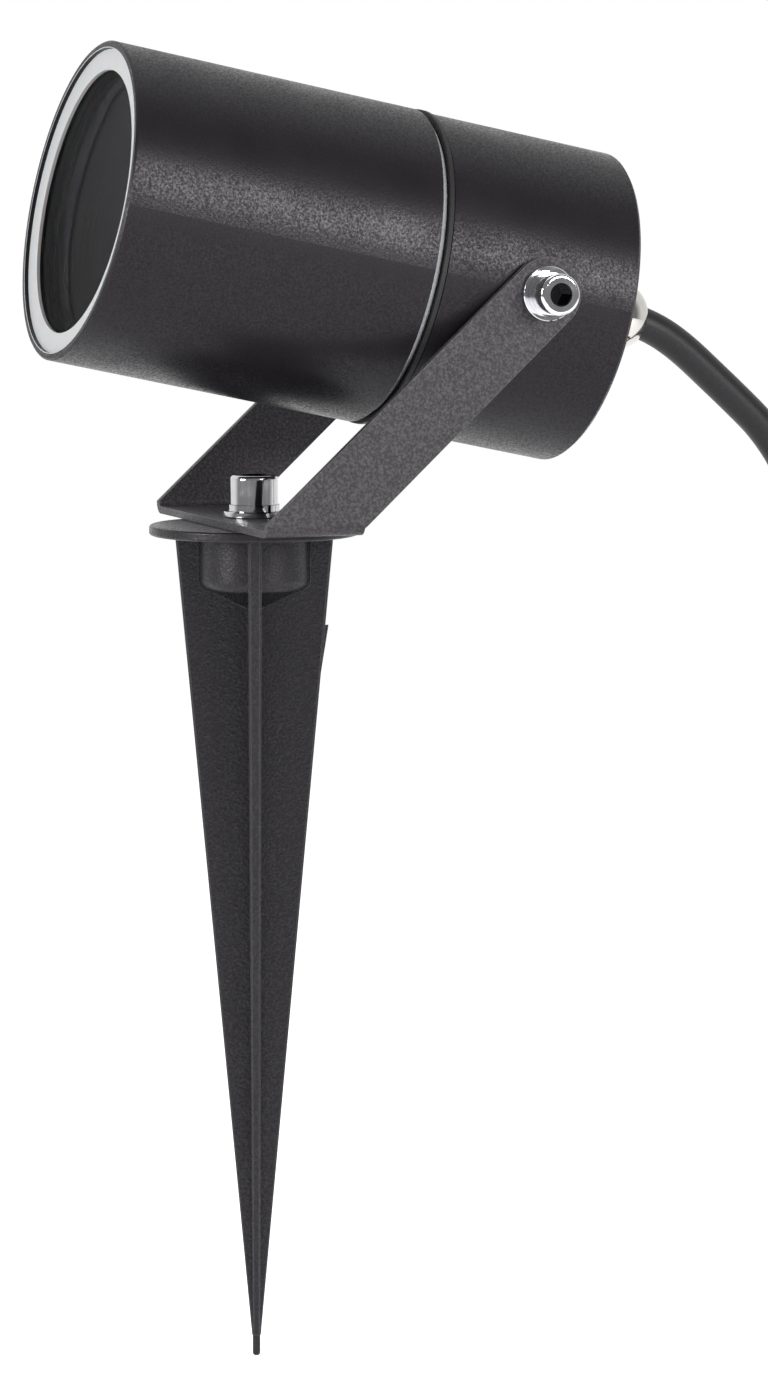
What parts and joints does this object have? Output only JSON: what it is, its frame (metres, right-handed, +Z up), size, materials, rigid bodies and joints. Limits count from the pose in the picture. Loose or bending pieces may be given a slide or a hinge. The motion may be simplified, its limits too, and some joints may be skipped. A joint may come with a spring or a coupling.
{
  "type": "garden spike spotlight",
  "caption": "Garden spotlight: a tilting cylindrical barrel on a folded bracket, fixed to a ground spike with crossing blades, with a rubber cable from a domed gland.",
  "frame": {"origin": "centre of the spike's flange underside, which is the ground line, on the spike's axis", "axes": "+Z up along the spike, the light shines towards -Y and slightly up, the tilt axis runs along X"},
  "size_m": [0.1032, 0.2876, 0.2704],
  "materials": {
    "spike_nylon": "moulded black nylon, fine satin grain",
    "insert_brass": "turned brass",
    "bright_steel": "polished stainless steel",
    "bracket_paint": "black powder coat, fine texture",
    "spacer_nylon": "black nylon",
    "barrel_black": "black powder coat on turned aluminium, bare at the machined seam bevel",
    "seal_rubber": "black rubber",
    "gasket_silicone": "pale translucent silicone",
    "clear_glass": "clear toughened glass",
    "zinc_steel": "zinc plated",
    "ceramic": "cream ceramic",
    "block_plastic": "natural white polyamide",
    "core_brown": "brown core insulation",
    "core_blue": "blue core insulation",
    "core_earth": "green and yellow core insulation",
    "lead_sleeve": "white glass-fibre sleeve",
    "gland_nickel": "nickel-plated brass",
    "cable_rubber": "black rubber sheath, matt",
    "tie_fabric": "black woven tie"
  },
  "bodies": {
    "spike": {"ground_spike": "spike_nylon", "spike_insert": "insert_brass", "base_flat_washer": "bright_steel", "base_spring_washer": "bright_steel", "base_screw": "bright_steel"},
    "bracket": {"bracket": "bracket_paint", "supply_cable": "cable_rubber", "cable_coil": "cable_rubber", "coil_tie": "tie_fabric", "cable_end": "cable_rubber"},
    "head": {"pivot_spacers": "spacer_nylon", "pivot_flat_washers": "bright_steel", "pivot_spring_washers": "bright_steel", "pivot_screws": "bright_steel", "rear_barrel": "barrel_black", "lampholder_bracket": "zinc_steel", "lampholder": "ceramic", "bracket_screws": "zinc_steel", "lampholder_screws": "zinc_steel", "earth_screw": "zinc_steel", "terminal_block": "block_plastic", "earth_tag": "insert_brass", "live_core": "core_brown", "neutral_core": "core_blue", "earth_core": "core_earth", "lamp_leads": "lead_sleeve", "gland_body": "gland_nickel", "gland_seal": "seal_rubber", "gland_cap": "gland_nickel", "cable_entry": "cable_rubber"},
    "seal_ring": {"joint_seal": "seal_rubber"},
    "front": {"front_barrel": "barrel_black", "glass_gasket": "gasket_silicone", "front_glass": "clear_glass"}
  },
  "joints": [
    {"name": "pan", "type": "hinge", "parent": "spike", "child": "bracket", "pos_m": [0, 0, 0], "axis": [0, 0, 1], "range_deg": [-180, 180]},
    {"name": "tilt", "type": "hinge", "parent": "bracket", "child": "head", "pos_m": [0, 0.05, 0.0495], "axis": [-1, 0, 0], "range_deg": [-15, 78], "deforming": ["supply_cable"]},
    {"name": "front_turn", "type": "hinge", "parent": "head", "child": "seal_ring", "pos_m": [0, 0.05, 0.0495], "axis": [0, -0.9781, 0.2079], "range_deg": [0, 1890]},
    {"name": "front_slide", "type": "slide", "parent": "seal_ring", "child": "front", "axis": [0, -0.9781, 0.2079], "range_m": [0, 0.0079]}
  ],
  "couplings": [
    {"joint": "front_slide", "follows": "front_turn", "m_per_rad": 0.00023873}
  ]
}
